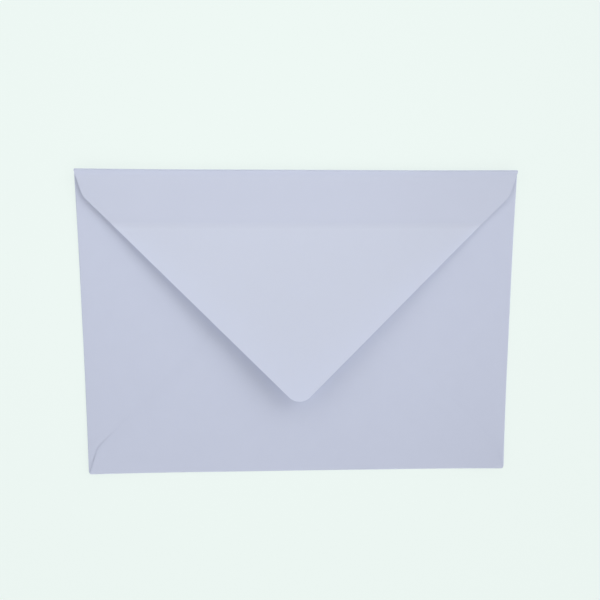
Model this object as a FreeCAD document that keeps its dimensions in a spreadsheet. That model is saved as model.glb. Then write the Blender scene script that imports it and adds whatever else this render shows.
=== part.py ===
import FreeCAD, Part
import math
import os
import Sketcher
from FreeCAD import Placement, Rotation, Vector

# A paper envelope with a pointed closing flap and diagonal seams, folded from one die-cut sheet.
# It lies on its address side, flap side up. X runs along the width, Y towards the top fold, Z up.
# The origin is the middle of the face that it rests on. Lengths are in millimetres, angles in
# degrees.

SIZES = {
    # Folded size, and the paper that it is cut from
    "envelope_width": 162.0,
    "envelope_height": 114.0,
    "paper_thickness": 0.15,
    # Air left between the layers: inside the pocket, and under the root of the closing flap
    "pocket_gap": 0.3,
    "closing_gap": 0.6,
    # How far each fold stops short of the folds at its two ends
    "corner_relief": 0.2,
    # Closing flap: two short slanted shoulders, then straight edges down to a rounded tip
    "closing_shoulder_inset": 2.4,
    "closing_shoulder_drop": 9.1,
    "closing_shoulder_radius": 7.5,
    "closing_edge_angle": 45.0,
    "closing_tip_radius": 5.5,
    # Closing flap: a nearly flat band below the top fold, a soft bend, and the lift to the tip
    "closing_band_length": 17.0,
    "closing_band_angle": 0.5,
    "closing_bend_radius": 80.0,
    "closing_lift_angle": 2.7,
    # Bottom flap and side flaps: each corner of the sheet is notched alike on both sides of its
    # diagonal, so one shoulder serves all three flaps
    "seam_shoulder_inset": 4.0,
    "seam_shoulder_drop": 10.65,
    "seam_shoulder_radius": 6.0,
    "seam_angle": 45.0,
    "bottom_tip_radius": 6.0,
    "side_tip_radius": 6.0,
}

PAPER = "Sizes.paper_thickness"

# Heights of the undersides of the flaps, which lie in turn over the address panel
SIDE_LEVEL = f"({PAPER} + Sizes.pocket_gap)"
BOTTOM_LEVEL = f"({SIDE_LEVEL} + {PAPER})"
CLOSING_LEVEL = f"({BOTTOM_LEVEL} + {PAPER} + Sizes.closing_gap)"

# Outer radius of each fold: half the height that it brings its flap up to
SIDE_FOLD = f"(({SIDE_LEVEL} + {PAPER}) / 2)"
BOTTOM_FOLD = f"(({BOTTOM_LEVEL} + {PAPER}) / 2)"
CLOSING_FOLD = f"(({CLOSING_LEVEL} + {PAPER}) / 2)"

# Half of each fold's length: the long folds are at the top and bottom, the short ones at the sides
HALF_WIDTH = "(Sizes.envelope_width / 2)"
HALF_HEIGHT = "(Sizes.envelope_height / 2)"
HALF_LONG_FOLD = f"({HALF_WIDTH} - {SIDE_FOLD} - Sizes.corner_relief)"
HALF_SHORT_FOLD = f"({HALF_HEIGHT} - {CLOSING_FOLD} - Sizes.corner_relief)"


def make_sheet(doc):
    """Write the driving sizes into the spreadsheet, one alias for each."""
    sheet = doc.addObject("Spreadsheet::Sheet", "Sizes")
    for row, (alias, value) in enumerate(SIZES.items(), start=1):
        sheet.set(f"A{row}", alias)
        sheet.set(f"B{row}", str(value))
        sheet.setAlias(f"B{row}", alias)
    doc.recompute()


def new_sketch(body, role, name):
    """A sketch on one of the body's own origin planes."""
    sketch = body.newObject("Sketcher::SketchObject", name)
    plane = next(item for item in body.Origin.OriginFeatures if item.Role == role)
    sketch.AttachmentSupport = (plane, [""])
    sketch.MapMode = "FlatFace"
    return sketch


def number(item, expression):
    """The present value of an expression of the driving sizes."""
    return float(item.evalExpression(expression))


def constrain(sketch, *constraint):
    """Add a constraint that has no size."""
    sketch.addConstraint(Sketcher.Constraint(*constraint))


def dimension(sketch, name, expression, kind, *geometry):
    """Add a named dimension that follows an expression of the driving sizes."""
    value = number(sketch, expression)
    if kind == "Angle":
        value = math.radians(value)
    index = sketch.addConstraint(Sketcher.Constraint(kind, *geometry, value))
    sketch.renameConstraint(index, name)
    sketch.setExpression(f"Constraints.{name}", expression)


def draw_outline(sketch, corners):
    """A closed outline through corners of (name, across, up, radius); radius None is sharp."""
    points = [Vector(number(sketch, across), number(sketch, up), 0) for _, across, up, _ in corners]
    sides = []
    for start, end in zip(points, points[1:] + points[:1]):
        sides.append(sketch.addGeometry(Part.LineSegment(start, end)))
    for side, (name, across, up, _) in enumerate(corners):
        constrain(sketch, "Coincident", sides[side - 1], 2, sides[side], 1)
        dimension(sketch, f"{name}_across", across, "DistanceX", -1, 1, sides[side], 1)
        dimension(sketch, f"{name}_up", up, "DistanceY", -1, 1, sides[side], 1)
    for side, (name, _, _, radius) in enumerate(corners):
        if radius is not None:
            arc = sketch.GeometryCount
            sketch.fillet(sides[side], 1, number(sketch, radius), True, True)
            dimension(sketch, f"{name}_radius", radius, "Radius", arc)


def unit(degrees):
    """The unit vector at this angle in a sketch."""
    return Vector(math.cos(math.radians(degrees)), math.sin(math.radians(degrees)), 0)


def add_arc(sketch, centre, radius, first, last):
    """An arc about a centre, counter-clockwise between two angles."""
    circle = Part.Circle(centre, Vector(0, 0, 1), radius)
    return sketch.addGeometry(Part.ArcOfCircle(circle, math.radians(first), math.radians(last)))


def draw_section(sketch, edge, fold, runs, end_across):
    """One thickness of paper, from the address panel round its fold to the end of the flap.

    The fold's outer face reaches to edge. Each run is (name, slope, turn, length): its slope
    above level, the outer radius of the turn that leads into it, and its length. The first
    turn is the fold and the others lift the flap. The last run ends at end_across instead.
    """
    paper = number(sketch, PAPER)
    outer = Vector(number(sketch, f"{edge} - {fold}"), 0, 0)
    root = sketch.addGeometry(Part.LineSegment(outer, outer + Vector(0, paper, 0)))
    constrain(sketch, "Vertical", root)
    constrain(sketch, "PointOnObject", root, 1, -1)
    dimension(sketch, "root_across", f"{edge} - {fold}", "DistanceX", -1, 1, root, 1)
    dimension(sketch, "root_paper", PAPER, "Distance", root)
    heading = 0
    outer_line, inner_line = root, root
    for name, slope, turn, length in runs:
        next_heading = number(sketch, f"180 - {slope}")
        radius = number(sketch, turn)
        folding = next_heading > heading
        # The outer face is on the outside of the fold, and on the inside of a lifting turn
        side = 1 if folding else -1
        centre = outer + unit(heading + 90) * radius * side
        first, last = sorted((heading - 90 * side, next_heading - 90 * side))
        start, end = (1, 2) if folding else (2, 1)
        outer_arc = add_arc(sketch, centre, radius, first, last)
        inner_arc = add_arc(sketch, centre, radius - paper * side, first, last)
        constrain(sketch, "Coincident", outer_arc, 3, inner_arc, 3)
        if folding:
            constrain(sketch, "Perpendicular", outer_line, 1, outer_arc, start)
            constrain(sketch, "Coincident", inner_line, 2, inner_arc, start)
        else:
            constrain(sketch, "Tangent", outer_line, 2, outer_arc, start)
            constrain(sketch, "Tangent", inner_line, 2, inner_arc, start)
        dimension(sketch, f"{name}_turn", turn, "Radius", outer_arc)
        heading = next_heading
        outer = centre + unit(heading - 90 * side) * radius * side * side
        inner = outer + unit(heading + 90) * paper
        if length is None:
            reach = (outer.x - number(sketch, end_across)) / -unit(heading).x
        else:
            reach = number(sketch, length)
        outer_line = sketch.addGeometry(Part.LineSegment(outer, outer + unit(heading) * reach))
        inner_line = sketch.addGeometry(Part.LineSegment(inner, inner + unit(heading) * reach))
        constrain(sketch, "Tangent", outer_arc, end, outer_line, 1)
        constrain(sketch, "Tangent", inner_arc, end, inner_line, 1)
        constrain(sketch, "Parallel", outer_line, inner_line)
        dimension(sketch, f"{name}_heading", f"180 - {slope}", "Angle", outer_line)
        outer = outer + unit(heading) * reach
        if length is not None:
            dimension(sketch, f"{name}_length", length, "Distance", outer_line)
    end_line = sketch.addGeometry(Part.LineSegment(outer, outer + Vector(0, -paper, 0)))
    constrain(sketch, "Coincident", outer_line, 2, end_line, 1)
    constrain(sketch, "Coincident", inner_line, 2, end_line, 2)
    constrain(sketch, "Vertical", end_line)
    dimension(sketch, "end_across", end_across, "DistanceX", -1, 1, end_line, 1)


def make_flap(doc, name, turned, edge, half_side, half_fold, shoulder, angle, tip_radius, runs):
    """A flap folded over from one side of the sheet, made as if from the top and then turned.

    Its strip is as wide as its fold, and the waste round its outline is cut away.
    """
    inset, drop, shoulder_radius = shoulder
    fold = runs[0][2]
    body = doc.addObject("PartDesign::Body", name)
    shoulder_across = f"({half_side} - {inset})"
    shoulder_up = f"({edge} - {drop})"
    tip_up = f"({shoulder_up} - {shoulder_across} * tan({angle}))"

    section = new_sketch(body, "YZ_Plane", f"{name}_section")
    draw_section(section, edge, fold, runs, tip_up)
    strip = body.newObject("PartDesign::Pad", f"{name}_strip")
    strip.Profile = section
    strip.SideType = "Symmetric"
    strip.setExpression("Length", f"2 * {half_fold}")
    doc.recompute()

    root_up = f"({edge} - {fold})"
    clear_across = f"(2 * {half_fold})"
    clear_up = f"({tip_up} - {half_fold})"
    waste = new_sketch(body, "XY_Plane", f"{name}_waste")
    draw_outline(waste, [
        ("root_right", half_fold, root_up, None),
        ("shoulder_right", shoulder_across, shoulder_up, shoulder_radius),
        ("tip", "0", tip_up, tip_radius),
        ("shoulder_left", f"-{shoulder_across}", shoulder_up, shoulder_radius),
        ("root_left", f"-{half_fold}", root_up, None),
        ("waste_left", f"-{clear_across}", root_up, None),
        ("waste_low_left", f"-{clear_across}", clear_up, None),
        ("waste_low_right", clear_across, clear_up, None),
        ("waste_right", clear_across, root_up, None),
    ])
    cut = body.newObject("PartDesign::Pocket", f"{name}_cut")
    cut.Profile = waste
    cut.Type = "ThroughAll"
    cut.SideType = "Symmetric"
    body.Tip = cut
    doc.recompute()
    if not cut.Shape.Volume < strip.Shape.Volume:
        raise RuntimeError(f"{name}: the waste was not cut away")
    body.Placement = Placement(Vector(0, 0, 0), Rotation(Vector(0, 0, 1), turned))
    return body


def make_address_panel(doc):
    """The flat panel between the four folds, the one that the address is written on."""
    body = doc.addObject("PartDesign::Body", "address_panel")
    sketch = new_sketch(body, "XY_Plane", "address_panel_outline")
    right = f"({HALF_WIDTH} - {SIDE_FOLD})"
    low = f"-({HALF_HEIGHT} - {BOTTOM_FOLD})"
    high = f"({HALF_HEIGHT} - {CLOSING_FOLD})"
    draw_outline(sketch, [
        ("low_left", f"-{right}", low, None),
        ("low_right", right, low, None),
        ("high_right", right, high, None),
        ("high_left", f"-{right}", high, None),
    ])
    pad = body.newObject("PartDesign::Pad", "address_panel_paper")
    pad.Profile = sketch
    pad.setExpression("Length", PAPER)
    body.Tip = pad
    return body


def make_envelope(doc):
    """The address panel and its four flaps, all one sheet, glued along the diagonal seams."""
    closing_shoulder = (
        "Sizes.closing_shoulder_inset",
        "Sizes.closing_shoulder_drop",
        "Sizes.closing_shoulder_radius",
    )
    seam_shoulder = (
        "Sizes.seam_shoulder_inset",
        "Sizes.seam_shoulder_drop",
        "Sizes.seam_shoulder_radius",
    )
    closing_runs = [
        ("band", "Sizes.closing_band_angle", CLOSING_FOLD, "Sizes.closing_band_length"),
        ("lifted", "Sizes.closing_lift_angle", "Sizes.closing_bend_radius", None),
    ]
    bottom_runs = [("level", "0", BOTTOM_FOLD, None)]
    side_runs = [("level", "0", SIDE_FOLD, None)]

    panels = [make_address_panel(doc)]
    for name, turned in (("right_side_flap", -90), ("left_side_flap", 90)):
        panels.append(make_flap(
            doc, name, turned, HALF_WIDTH, HALF_HEIGHT, HALF_SHORT_FOLD, seam_shoulder,
            "(90 - Sizes.seam_angle)", "Sizes.side_tip_radius", side_runs))
    panels.append(make_flap(
        doc, "bottom_flap", 180, HALF_HEIGHT, HALF_WIDTH, HALF_LONG_FOLD, seam_shoulder,
        "Sizes.seam_angle", "Sizes.bottom_tip_radius", bottom_runs))
    panels.append(make_flap(
        doc, "closing_flap", 0, HALF_HEIGHT, HALF_WIDTH, HALF_LONG_FOLD, closing_shoulder,
        "Sizes.closing_edge_angle", "Sizes.closing_tip_radius", closing_runs))

    envelope = doc.addObject("Part::MultiFuse", "envelope")
    envelope.Shapes = panels
    envelope.Refine = True
    envelope.Label = "envelope"
    return envelope


def check(doc, envelope):
    """Stop if anything failed, or if the sheet came out in more than one piece."""
    for item in doc.Objects:
        if "Invalid" in item.State or "Error" in item.State:
            raise RuntimeError(f"{item.Name} failed: {item.State}")
    shape = envelope.Shape
    if shape.isNull() or not shape.isValid() or len(shape.Solids) != 1:
        raise RuntimeError("the envelope is not one valid solid")


def main():
    doc = FreeCAD.newDocument("envelope")
    make_sheet(doc)
    envelope = make_envelope(doc)
    doc.recompute()
    check(doc, envelope)
    box = envelope.Shape.BoundBox
    print(f"envelope {box.XLength:.2f} x {box.YLength:.2f} x {box.ZLength:.2f} mm, "
          f"{envelope.Shape.Volume:.1f} mm3, {len(envelope.Shape.Faces)} faces")
    os.makedirs("parts", exist_ok=True)
    envelope.Shape.exportStep("parts/envelope.step")


main()
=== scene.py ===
import math

import bpy
import numpy as np
from mathutils import Matrix, Vector
from mathutils.geometry import delaunay_2d_cdt


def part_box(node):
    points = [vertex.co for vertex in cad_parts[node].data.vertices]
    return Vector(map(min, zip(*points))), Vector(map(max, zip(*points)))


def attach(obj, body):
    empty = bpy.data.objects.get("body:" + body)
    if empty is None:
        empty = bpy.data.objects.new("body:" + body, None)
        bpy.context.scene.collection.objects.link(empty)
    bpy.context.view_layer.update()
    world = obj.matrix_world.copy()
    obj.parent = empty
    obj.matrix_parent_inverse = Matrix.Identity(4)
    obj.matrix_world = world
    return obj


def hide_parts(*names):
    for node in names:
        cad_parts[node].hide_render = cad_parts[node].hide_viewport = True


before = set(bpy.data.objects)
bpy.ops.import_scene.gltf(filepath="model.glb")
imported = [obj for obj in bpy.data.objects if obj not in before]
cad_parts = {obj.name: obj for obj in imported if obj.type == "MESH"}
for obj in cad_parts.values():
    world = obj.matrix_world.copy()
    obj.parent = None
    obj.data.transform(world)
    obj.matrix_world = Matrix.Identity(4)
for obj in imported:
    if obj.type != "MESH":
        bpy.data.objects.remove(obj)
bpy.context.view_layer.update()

# A pale paper envelope, lying flap side up on a pale floor. The whole envelope is one sheet: its
# die-cut blank is meshed flat and then folded, with the give that real paper has.

# The sheet and its layers, in millimetres

MM = 0.001
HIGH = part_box("envelope")[1]
HALF_WIDTH = HIGH[0] / MM
HALF_HEIGHT = HIGH[1] / MM
PAPER = 0.15
GLUE_FILM = 0.01
POCKET_AIR = 0.3
CLOSING_AIR = 0.6

# Height of the middle of each layer over the table when pressed flat
PANEL_LEVEL = PAPER / 2
SIDE_LEVEL = PANEL_LEVEL + PAPER + POCKET_AIR
BOTTOM_LEVEL = SIDE_LEVEL + PAPER + GLUE_FILM
CLOSING_LEVEL = BOTTOM_LEVEL + PAPER + CLOSING_AIR

# The sheet is cut back where two folds meet, and the side flaps' folds by its own thickness more
CORNER_RELIEF = 0.45
HALF_LONG_FOLD = HALF_WIDTH - CORNER_RELIEF
HALF_SHORT_FOLD = HALF_HEIGHT - CORNER_RELIEF - PAPER

# Cut of the flaps: shoulder inset and drop, edge angle in degrees, shoulder and tip radius
CLOSING_SHAPE = (2.9, 9.6, 44.85, 7.5, 5.5)
SEAM_SHAPE = (4.0, 10.65, 45.0, 6.0, 6.0)

# How the folded envelope gives, in millimetres and degrees

# The folding plate pinches the folds, and the layers spring apart over the crease width
CREASE_WIDTH = 1.2
SIDE_PINCH = 0.08
LONG_PINCH = 0.12

# How far each corner curls up off the table, as side, end and height
CORNER_CURLS = ((-1, 1, 0.7), (1, 1, 0.7), (-1, -1, 0.7), (1, -1, 1.0))
CURL_REACH = 42.0

# The back of the pocket stands off most in the middle, and falls off towards the folds
POCKET_PUFF = 0.5
PUFF_FALL = 1.3

# Slow waves that paper takes up with damp, each shorter and lower than the one before
RIPPLES = 6
RIPPLE_HEIGHT = 0.05
RIPPLE_LENGTH = 62.0
RIPPLE_SHORTENING = 0.35
RIPPLE_HEADING = 0.4
RIPPLE_STAGGER = 1.7
GOLDEN_ANGLE = math.radians(137.5)

# The closing flap springs off its fold, lies nearly flat down to a bend, and lifts from there
CLOSING_SPRING = 0.3
SPRING_WIDTH = 2.0
BAND_ANGLE = 0.2
BEND_DOWN = 19.0
BEND_WIDTH = 0.8
LIFT_ANGLE = 3.6
TIP_ANGLE = 4.2
TIP_DOWN = 87.7

# Its left side stands higher than its right, in full from this far below the fold
TWIST = 0.5
TWIST_DOWN = 25.0

# Share of the lifted flap's painted highlight and show-through that its flat band takes, where 1
# is the full share, and the width of each change
BAND_PAINTED_LIGHT = 0.3
PAINTED_LIGHT_WIDTH = 2.6

# Pressing the glued seams squeezes the bottom flap's edge thin, as a share of its thickness. At
# its shoulders, which the glue doesn't reach, the edge keeps its thickness and stands up a little.
SEAM_SQUEEZE = 0.82
SEAM_WIDTH = 3.0
SHOULDER_LIFT = 0.06
SHOULDER_LENGTH = 11.0

# Mesh: spacing of the points in the sheet and on its cut edges, and rows across a fold's turn
GRID = 1.3
EDGE_STEP = GRID / 2
ARC_STEPS_LEAST = 3
FOLD_ROWS = 8
ROW_GROWTH = 1.5
TIP_CLEARANCE = GRID / 3
TRIANGLES_INSIDE = 1
MERGE_WITHIN = 1e-6
SHARP_ANGLE = 40


def smooth_step(value):
    """0 to 1 with no corner at either end."""
    value = np.clip(value, 0.0, 1.0)
    return value * value * (3 - 2 * value)


def whole_lift(x, y):
    """The corners of the folded envelope curl up off the table."""
    lift = 0.0
    for side, end, height in CORNER_CURLS:
        away = np.hypot(x - side * HALF_WIDTH, y - end * HALF_HEIGHT)
        lift = lift + height * np.clip(1 - away / CURL_REACH, 0, 1) ** 2
    return lift


def pocket_puff(x, y):
    """The back of the pocket stands off the address panel a little in the middle."""
    across = np.clip(1 - (x / HALF_WIDTH) ** 2, 0, 1)
    along = np.clip(1 - (y / HALF_HEIGHT) ** 2, 0, 1)
    return POCKET_PUFF * (across * along) ** PUFF_FALL


def ripple(x, y):
    """Height of the waves in the back, the same in each run."""
    height = 0.0
    for wave in range(RIPPLES):
        heading = RIPPLE_HEADING + wave * GOLDEN_ANGLE
        length = RIPPLE_LENGTH / (1 + RIPPLE_SHORTENING * wave)
        phase = (x * math.cos(heading) + y * math.sin(heading)) / length * math.tau
        height = height + np.sin(phase + RIPPLE_STAGGER * wave) / (1 + wave)
    return RIPPLE_HEIGHT * height


def pinch(x, y):
    """How far the folds hold the layers down towards the address panel."""
    side_gap = HALF_WIDTH - np.abs(x)
    long_gap = HALF_HEIGHT - np.abs(y)
    pinched = SIDE_PINCH * np.exp(-side_gap / CREASE_WIDTH)
    return pinched + LONG_PINCH * np.exp(-long_gap / CREASE_WIDTH)


def closing_rise(x, y):
    """How far the closing flap springs up, with a lift that changes evenly towards its tip."""
    down = HALF_HEIGHT - y
    past_bend = BEND_WIDTH * np.logaddexp(0, (down - BEND_DOWN) / BEND_WIDTH)
    band, lift, tip = (math.tan(math.radians(a)) for a in (BAND_ANGLE, LIFT_ANGLE, TIP_ANGLE))
    arch = (lift - tip) / 2 / (TIP_DOWN - BEND_DOWN)
    spring = CLOSING_SPRING * np.exp(-down / SPRING_WIDTH)
    twist = TWIST * -x / HALF_WIDTH * smooth_step(down / TWIST_DOWN)
    return spring + band * down + (lift - band) * past_bend - arch * past_bend ** 2 + twist


def side_height(x, y):
    return SIDE_LEVEL - pinch(x, y) + pocket_puff(x, y) + ripple(x, y)


def bottom_height(x, y):
    return BOTTOM_LEVEL - pinch(x, y) + pocket_puff(x, y) + ripple(x, y)


def closing_height(x, y):
    return CLOSING_LEVEL + pocket_puff(x, y) + ripple(x, y) + closing_rise(x, y)


# The blank and its folding


def rounded(corners, step):
    """Points along a run of (across, away, radius) corners, with arcs where a radius is given."""
    points = []
    last = len(corners) - 1
    for index, (across, away, radius) in enumerate(corners):
        here = Vector((across, away))
        if index in (0, last) or not radius:
            points.append(here)
            continue
        back = (Vector(corners[index - 1][:2]) - here).normalized()
        ahead = (Vector(corners[index + 1][:2]) - here).normalized()
        half = back.angle(ahead) / 2
        centre = here + (back + ahead).normalized() * radius / math.sin(half)
        start = here + back * radius / math.tan(half) - centre
        turn = math.pi - 2 * half
        if start.x * ahead.y - start.y * ahead.x < 0:
            turn = -turn
        steps = max(ARC_STEPS_LEAST, round(abs(turn) * radius / step))
        for part in range(steps + 1):
            points.append(centre + Matrix.Rotation(turn * part / steps, 2) @ start)
    return points


def subdivided(points, step):
    """The same run of points with the long stretches divided."""
    run = []
    for start, end in zip(points, points[1:]):
        pieces = max(1, round((end - start).length / step))
        run += [start.lerp(end, piece / pieces) for piece in range(pieces)]
    return run + [points[-1]]


class Flap:
    """A flap of the blank, measured across its fold and away from where the fold starts."""

    def __init__(self, turned, edge, half_side, half_fold, level, pinched, height, shape,
                 glued=False):
        inset, drop, angle, shoulder_radius, tip_radius = shape
        self.turned = turned
        self.height = height
        self.glued = glued
        self.slant = math.radians(angle)
        # The turn is half a circle from the address panel up to the pinched layer
        self.radius = (level - pinched - PANEL_LEVEL) / 2
        self.root = edge - self.radius - PAPER / 2
        self.turn_length = math.pi * self.radius
        shoulder = half_side - inset
        taken_up = self.turn_length - self.radius - PAPER / 2
        shoulder_away = drop + taken_up
        tip_away = shoulder_away + shoulder * math.tan(self.slant)
        corners = [
            (half_fold, 0, None),
            (half_fold, self.turn_length, None),
            (shoulder, shoulder_away, shoulder_radius),
            (0, tip_away, tip_radius),
            (-shoulder, shoulder_away, shoulder_radius),
            (-half_fold, self.turn_length, None),
            (-half_fold, 0, None),
        ]
        self.outline = subdivided(rounded(corners, EDGE_STEP), EDGE_STEP)
        right = [point for point in self.outline if point.x >= 0]
        right.sort(key=lambda point: point.y)
        self.aways = [point.y for point in right]
        self.widths = [point.x for point in right]

    def rows(self):
        """Distances of the rows of points: close in the turn, then widening to the grid."""
        rows = [self.turn_length * row / FOLD_ROWS for row in range(FOLD_ROWS + 1)]
        gap = self.turn_length / FOLD_ROWS
        while rows[-1] + gap < self.aways[-1] - TIP_CLEARANCE:
            gap = min(GRID, gap * ROW_GROWTH)
            rows.append(rows[-1] + gap)
        return rows

    def inside(self):
        """Points inside the flap, clear of its outline."""
        points = []
        for away in self.rows():
            half = np.interp(away, self.aways, self.widths) - EDGE_STEP
            if half <= 0:
                continue
            count = max(1, round(2 * half / GRID))
            points += [(-half + 2 * half * part / count, away) for part in range(count + 1)]
        return points

    def edge_share(self, across, away):
        """1 at the cut edge past the fold, and 0 from a seam's width further in."""
        inward = np.interp(away, self.aways, self.widths) - np.abs(across)
        past_fold = smooth_step((away - self.turn_length) / SEAM_WIDTH)
        return past_fold * (1 - smooth_step(inward * math.cos(self.slant) / SEAM_WIDTH))

    def glued_share(self, away):
        """0 at the shoulders, 1 along the rest of the seam."""
        past_shoulder = away - self.turn_length - SHOULDER_LENGTH
        return smooth_step(past_shoulder / SHOULDER_LENGTH + 0.5)

    def on_blank(self, points):
        """Flap measures turned into places on the flat blank."""
        turn = Matrix.Rotation(math.radians(self.turned), 2)
        return [turn @ Vector((across, self.root + away)) for across, away in points]

    def folded(self, across, away):
        """Places in the folded envelope for points of the flap."""
        turning = np.clip(away / self.turn_length, 0, 1) * math.pi
        past = np.clip(away - self.turn_length, 0, None)
        along = self.root + self.radius * np.sin(turning) - past
        turn = math.radians(self.turned)
        x = across * math.cos(turn) - along * math.sin(turn)
        y = across * math.sin(turn) + along * math.cos(turn)
        top = self.height(x, y)
        z = PANEL_LEVEL + (top - PANEL_LEVEL) * (1 - np.cos(turning)) / 2
        return x, y, z


# In the order in which they go round the blank
FLAPS = [
    Flap(0, HALF_HEIGHT, HALF_WIDTH, HALF_LONG_FOLD, CLOSING_LEVEL, -CLOSING_SPRING,
         closing_height, CLOSING_SHAPE),
    Flap(90, HALF_WIDTH, HALF_HEIGHT, HALF_SHORT_FOLD, SIDE_LEVEL, SIDE_PINCH,
         side_height, SEAM_SHAPE),
    Flap(180, HALF_HEIGHT, HALF_WIDTH, HALF_LONG_FOLD, BOTTOM_LEVEL, LONG_PINCH,
         bottom_height, SEAM_SHAPE, glued=True),
    Flap(270, HALF_WIDTH, HALF_HEIGHT, HALF_SHORT_FOLD, SIDE_LEVEL, SIDE_PINCH,
         side_height, SEAM_SHAPE),
]


def flat_blank():
    """The whole sheet as cut, laid flat and meshed: points and triangles."""
    closing, left, bottom, right = FLAPS
    # The panel's own corners sit between the ends of the folds
    corners = [
        Vector((-left.root, closing.root)),
        Vector((-left.root, -bottom.root)),
        Vector((right.root, -bottom.root)),
        Vector((right.root, closing.root)),
    ]
    outline = []
    inside = []
    for flap, corner in zip(FLAPS, corners):
        outline += flap.on_blank(flap.outline)
        outline.append(corner)
        inside += flap.on_blank(flap.inside())
    columns = round(2 * right.root / GRID)
    rows = round((closing.root + bottom.root) / GRID)
    for column in range(1, columns):
        for row in range(1, rows):
            across = -left.root + 2 * right.root * column / columns
            up = -bottom.root + (closing.root + bottom.root) * row / rows
            inside.append(Vector((across, up)))
    loop = list(range(len(outline)))
    meshed = delaunay_2d_cdt(outline + inside, [], [loop], TRIANGLES_INSIDE, MERGE_WITHIN)
    points, _, triangles = meshed[:3]
    return np.array([tuple(point) for point in points]), triangles


def flap_painted_light(points):
    """Share of painted highlight and show-through: 1 where the closing flap lifts, part on its
    flat band, 0 in the pocket.
    """
    closing = FLAPS[0]
    down = points[:, 1] - closing.root - closing.turn_length
    band = smooth_step(down / PAINTED_LIGHT_WIDTH)
    beyond = smooth_step((down - BEND_DOWN) / PAINTED_LIGHT_WIDTH + 0.5)
    return BAND_PAINTED_LIGHT * band + (1 - BAND_PAINTED_LIGHT) * beyond


def fold(points):
    """Fold the flat blank: each point's place in the envelope, and its share of thickness."""
    u, v = points[:, 0], points[:, 1]
    x, y, z = u.copy(), v.copy(), np.full(len(u), PANEL_LEVEL)
    thickness = np.ones(len(u))
    for flap in FLAPS:
        turn = math.radians(flap.turned)
        along = -u * math.sin(turn) + v * math.cos(turn)
        across = u * math.cos(turn) + v * math.sin(turn)
        on_flap = along > flap.root
        across, away = across[on_flap], along[on_flap] - flap.root
        x[on_flap], y[on_flap], z[on_flap] = flap.folded(across, away)
        if flap.glued:
            edge = flap.edge_share(across, away)
            glued = flap.glued_share(away)
            squeeze = SEAM_SQUEEZE * glued * edge
            thickness[on_flap] -= squeeze
            z[on_flap] += SHOULDER_LIFT * (1 - glued) * edge - PAPER / 2 * squeeze
    z = z + whole_lift(x, y)
    return np.column_stack((x, y, z)) * MM, thickness


def make_envelope(paper):
    """The folded sheet with its thickness and its square cut edges."""
    flat, triangles = flat_blank()
    places, thickness = fold(flat)
    mesh = bpy.data.meshes.new("folded_sheet")
    mesh.from_pydata(places.tolist(), [], triangles)
    mesh.shade_smooth()
    # Where the paper is painted paler as painted highlight, and lets light through
    clear = mesh.attributes.new("flap_painted_light", "FLOAT", "POINT")
    clear.data.foreach_set("value", flap_painted_light(flat))
    sheet = bpy.data.objects.new("folded_sheet", mesh)
    bpy.context.collection.objects.link(sheet)
    share = sheet.vertex_groups.new(name="thickness")
    for index, value in enumerate(thickness):
        share.add([index], float(value), "REPLACE")
    thick = sheet.modifiers.new("paper", "SOLIDIFY")
    thick.thickness = PAPER * MM
    thick.offset = 0
    thick.use_even_offset = True
    thick.vertex_group = "thickness"
    view = bpy.context.evaluated_depsgraph_get()
    solid = bpy.data.meshes.new_from_object(sheet.evaluated_get(view))
    solid.name = "envelope_sheet"
    bpy.data.objects.remove(sheet)
    bpy.data.meshes.remove(mesh)
    solid.set_sharp_from_angle(angle=math.radians(SHARP_ANGLE))
    solid.materials.append(paper)
    envelope = bpy.data.objects.new("envelope_sheet", solid)
    bpy.context.collection.objects.link(envelope)
    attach(envelope, "root")
    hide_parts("envelope")


# Materials, with colours as sRGB hex and sizes in millimetres

PAPER_DARK = "#C0C6D9"
PAPER_PALE = "#C2C8DB"
# A paler copy of the paper, painted on the lifted closing flap as painted highlight; also the
# colour of light through the sheet, of which SHOW_THROUGH is the share
THROUGH_AND_PAINTED_LIGHT = "#DFE4F2"
SHOW_THROUGH = 0.28
FLOC_SIZE = 6.0
TOOTH_SIZE = 0.5
TOOTH_DEPTH = 0.01
GROUND = "#EDF7F3"
GROUND_OWN_SHARE = 0.85


def linear(hex_colour):
    """An sRGB hex colour such as #AABBCC as the opaque linear colour that shaders take."""
    channels = [int(hex_colour[start:start + 2], 16) / 255 for start in (1, 3, 5)]
    return *(c / 12.92 if c <= 0.04045 else ((c + 0.055) / 1.055) ** 2.4 for c in channels), 1.0


def add_node(tree, kind, settings=None, inputs=None):
    """A node with its settings and inputs; an input is a value, or a node or socket to link."""
    node = tree.nodes.new(kind)
    for name, value in (settings or {}).items():
        setattr(node, name, value)
    for name, value in (inputs or {}).items():
        if isinstance(value, bpy.types.Node):
            value = value.outputs[0]
        if isinstance(value, bpy.types.NodeSocket):
            tree.links.new(value, node.inputs[name])
        else:
            node.inputs[name].default_value = value
    return node


def new_material(name):
    material = bpy.data.materials.new(name)
    material.use_nodes = True
    material.node_tree.nodes.clear()
    return material, material.node_tree


def per_metre(millimetres):
    """The texture scale, in metres of object space, that gives features of this size."""
    return 1 / (millimetres * MM)


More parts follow.
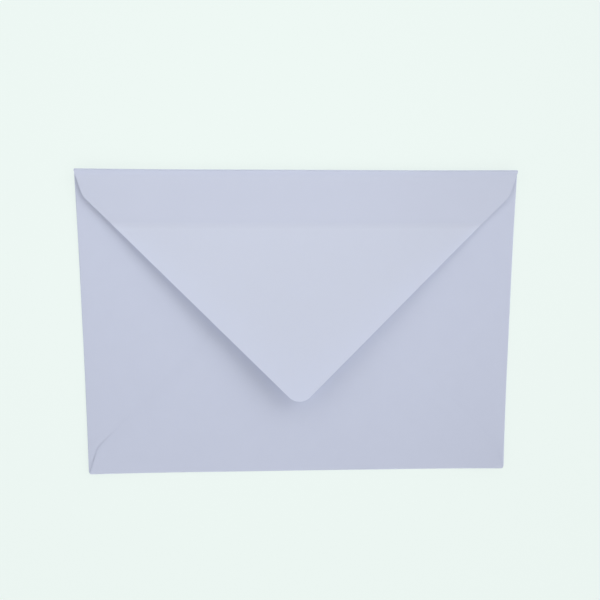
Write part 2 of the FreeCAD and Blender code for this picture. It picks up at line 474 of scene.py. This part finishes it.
def tinted_wove_paper():
    """Uncoated wove paper, dyed in the pulp: matte, with a faint cloud and tooth.

    Light soaks through a single sheet, and the lifted flap is painted paler than the pocket as a
    painted highlight, with a smaller share on its flat band.
    """
    material, tree = new_material("tinted_wove_paper")
    place = add_node(tree, "ShaderNodeTexCoord").outputs["Object"]
    # Formation: fibres settle on the wire in flocs a few millimetres across
    cloud = add_node(tree, "ShaderNodeTexNoise", inputs={
        "Vector": place, "Scale": per_metre(FLOC_SIZE), "Detail": 2.0, "Roughness": 0.5})
    tint = add_node(tree, "ShaderNodeMix", {"data_type": "RGBA"}, {
        "Factor": cloud.outputs["Fac"], "A": linear(PAPER_DARK), "B": linear(PAPER_PALE)})
    # Tooth: the felt leaves a fine grain
    tooth = add_node(tree, "ShaderNodeTexNoise", inputs={
        "Vector": place, "Scale": per_metre(TOOTH_SIZE), "Detail": 3.0, "Roughness": 0.6})
    bump = add_node(tree, "ShaderNodeBump", inputs={
        "Strength": 0.15, "Distance": TOOTH_DEPTH * MM, "Height": tooth.outputs["Fac"]})
    face = add_node(tree, "ShaderNodeBsdfPrincipled", inputs={
        "Base Color": tint.outputs["Result"], "Roughness": 0.75, "IOR": 1.5,
        "Specular IOR Level": 0.3, "Normal": bump})
    # One sheet lets light through, mixed with a paler diffuse copy of the paper that is painted
    # highlight; both show only where the sheet stands clear of the others, and in part on the
    # closing flap's flat band
    soaked = add_node(tree, "ShaderNodeBsdfTranslucent", inputs={"Color": linear(THROUGH_AND_PAINTED_LIGHT)})
    pale = add_node(tree, "ShaderNodeBsdfDiffuse", inputs={"Color": linear(THROUGH_AND_PAINTED_LIGHT)})
    sheet = add_node(tree, "ShaderNodeMixShader", inputs={
        "Fac": SHOW_THROUGH, 1: pale, 2: soaked})
    # The mask that puts the painted highlight on the lifted flap
    clear = add_node(tree, "ShaderNodeAttribute", {"attribute_name": "flap_painted_light"})
    paper = add_node(tree, "ShaderNodeMixShader", inputs={
        "Fac": clear.outputs["Fac"], 1: face, 2: sheet})
    add_node(tree, "ShaderNodeOutputMaterial", inputs={"Surface": paper})
    return material


def seen_directly(tree):
    """1 where a ray comes straight from the camera, a mirror or glass."""
    path = add_node(tree, "ShaderNodeLightPath")
    mirrored = add_node(tree, "ShaderNodeMath", {"operation": "MAXIMUM"}, {
        0: path.outputs["Is Camera Ray"], 1: path.outputs["Is Glossy Ray"]})
    return add_node(tree, "ShaderNodeMath", {"operation": "MAXIMUM"}, {
        0: mirrored, 1: path.outputs["Is Transmission Ray"]})


def painted_ground():
    """Matt painted board: part of what is seen is its own colour, part takes the shadow."""
    material, tree = new_material("painted_ground")
    matt = add_node(tree, "ShaderNodeBsdfDiffuse", inputs={"Color": linear(GROUND)})
    own = add_node(tree, "ShaderNodeEmission", inputs={"Color": linear(GROUND)})
    share = add_node(tree, "ShaderNodeMath", {"operation": "MULTIPLY"}, {
        0: seen_directly(tree), 1: GROUND_OWN_SHARE})
    mixed = add_node(tree, "ShaderNodeMixShader", inputs={"Fac": share, 1: matt, 2: own})
    add_node(tree, "ShaderNodeOutputMaterial", inputs={"Surface": mixed})
    return material


# Floor, light and camera

# Half the floor's side, in metres, and its gap under the envelope, in millimetres
FLOOR_REACH = 3.0
FLOOR_GAP = 0.01

# The belt of light round the room: its height and width as sines over the horizon, and how much
# brighter it is to the right and past the top edge
ROOM_LIGHT = 0.05
BELT_LIGHT = 2.95
BELT_HEIGHT = 0.36
BELT_WIDTH = 0.25
BELT_RIGHT = 0.22
BELT_TOP = -0.3

# The window in degrees: height over the table, turn from the top edge to the left, and spread
WINDOW_POWER = 0.56
WINDOW_HEIGHT = 33.0
WINDOW_TURN = -50.0
WINDOW_SPREAD = 40.0

# The lamp in watts and metres, with the radius and soft share of its pool on the table
LAMP_POWER = 2.62
LAMP_PLACE = Vector((-0.018, 0.065, 0.6))
LAMP_SOFTNESS = 0.1
POOL_RADIUS = 0.15
POOL_BLEND = 0.45

# The camera: places and lens in millimetres, roll in degrees
CAMERA_PLACE = Vector((-10.74, 12.70, 170.34)) * MM
CAMERA_AIM = Vector((-5.84, -4.68, 0.0)) * MM
CAMERA_ROLL = -0.211
LENS = 27.0
SENSOR = 36.0
SHIFT = (0.0279, 0.0629)
CLIP_START = 10.0


def make_floor():
    mesh = bpy.data.meshes.new("floor")
    ends = (-FLOOR_REACH, FLOOR_REACH)
    corners = [(x, y, 0) for y in ends for x in ends]
    mesh.from_pydata(corners, [], [(0, 1, 3, 2)])
    mesh.materials.append(painted_ground())
    floor = bpy.data.objects.new("floor", mesh)
    floor.location.z = -FLOOR_GAP * MM
    bpy.context.collection.objects.link(floor)


def light_the_room():
    """Daylight from windows all round: a bright belt over a dimmer floor and ceiling."""
    world = bpy.data.worlds.new("room")
    bpy.context.scene.world = world
    world.use_nodes = True
    tree = world.node_tree
    tree.nodes.clear()
    way = add_node(tree, "ShaderNodeSeparateXYZ", inputs={
        "Vector": add_node(tree, "ShaderNodeTexCoord").outputs["Generated"]})
    kind = "ShaderNodeMath"
    over = add_node(tree, kind, {"operation": "SUBTRACT"}, {0: way.outputs["Z"], 1: BELT_HEIGHT})
    off = add_node(tree, kind, {"operation": "DIVIDE"}, {0: over, 1: BELT_WIDTH})
    off_squared = add_node(tree, kind, {"operation": "MULTIPLY"}, {0: off, 1: off})
    belt = add_node(tree, kind, {"operation": "POWER"}, {0: math.exp(-1), 1: off_squared})
    to_right = add_node(tree, kind, {"operation": "MULTIPLY_ADD"}, {
        0: way.outputs["X"], 1: BELT_RIGHT, 2: 1.0})
    to_side = add_node(tree, kind, {"operation": "MULTIPLY_ADD"}, {
        0: way.outputs["Y"], 1: BELT_TOP, 2: to_right})
    sided_belt = add_node(tree, kind, {"operation": "MULTIPLY"}, {0: belt, 1: to_side})
    level = add_node(tree, kind, {"operation": "MULTIPLY_ADD"}, {
        0: sided_belt, 1: BELT_LIGHT, 2: ROOM_LIGHT})
    room = add_node(tree, "ShaderNodeBackground", inputs={"Strength": level})
    behind = add_node(tree, "ShaderNodeBackground", inputs={"Color": linear(GROUND)})
    mixed = add_node(tree, "ShaderNodeMixShader", inputs={
        "Fac": seen_directly(tree), 1: room, 2: behind})
    add_node(tree, "ShaderNodeOutputWorld", inputs={"Surface": mixed})


def open_window():
    """Far soft light past the upper right corner, low enough to show the lie of the paper."""
    lamp = bpy.data.lights.new("window_light", "SUN")
    lamp.energy = WINDOW_POWER
    lamp.angle = math.radians(WINDOW_SPREAD)
    window = bpy.data.objects.new("window_light", lamp)
    height, turn = math.radians(WINDOW_HEIGHT), math.radians(WINDOW_TURN)
    towards = Vector((-math.sin(turn), math.cos(turn), math.tan(height)))
    window.rotation_euler = (-towards).to_track_quat("-Z", "Y").to_euler()
    bpy.context.collection.objects.link(window)


def hang_overhead_lamp():
    """A shaded lamp straight above, whose pool of light fades towards the lower right corner."""
    lamp = bpy.data.lights.new("overhead_lamp", "SPOT")
    lamp.energy = LAMP_POWER
    lamp.shadow_soft_size = LAMP_SOFTNESS
    lamp.spot_size = 2 * math.atan(POOL_RADIUS / LAMP_PLACE.z)
    lamp.spot_blend = POOL_BLEND
    overhead = bpy.data.objects.new("overhead_lamp", lamp)
    overhead.location = LAMP_PLACE
    bpy.context.collection.objects.link(overhead)


def place_camera():
    """Above the envelope and a little past its middle, with the long folds level."""
    lens = bpy.data.cameras.new("camera")
    lens.lens = LENS
    lens.sensor_width = SENSOR
    lens.shift_x, lens.shift_y = SHIFT
    lens.clip_start = CLIP_START * MM
    camera = bpy.data.objects.new("camera", lens)
    ahead = (CAMERA_AIM - CAMERA_PLACE).normalized()
    right = ahead.cross(Vector((0, 1, 0))).normalized()
    level = Matrix((right, right.cross(ahead), -ahead)).transposed()
    roll = Matrix.Rotation(math.radians(CAMERA_ROLL), 3, "Z")
    camera.matrix_world = Matrix.LocRotScale(CAMERA_PLACE, (level @ roll).to_quaternion(), None)
    bpy.context.collection.objects.link(camera)
    bpy.context.scene.camera = camera


place_camera()
make_envelope(tinted_wove_paper())
make_floor()
light_the_room()
open_window()
hang_overhead_lamp()
bpy.context.scene.view_settings.view_transform = "Standard"
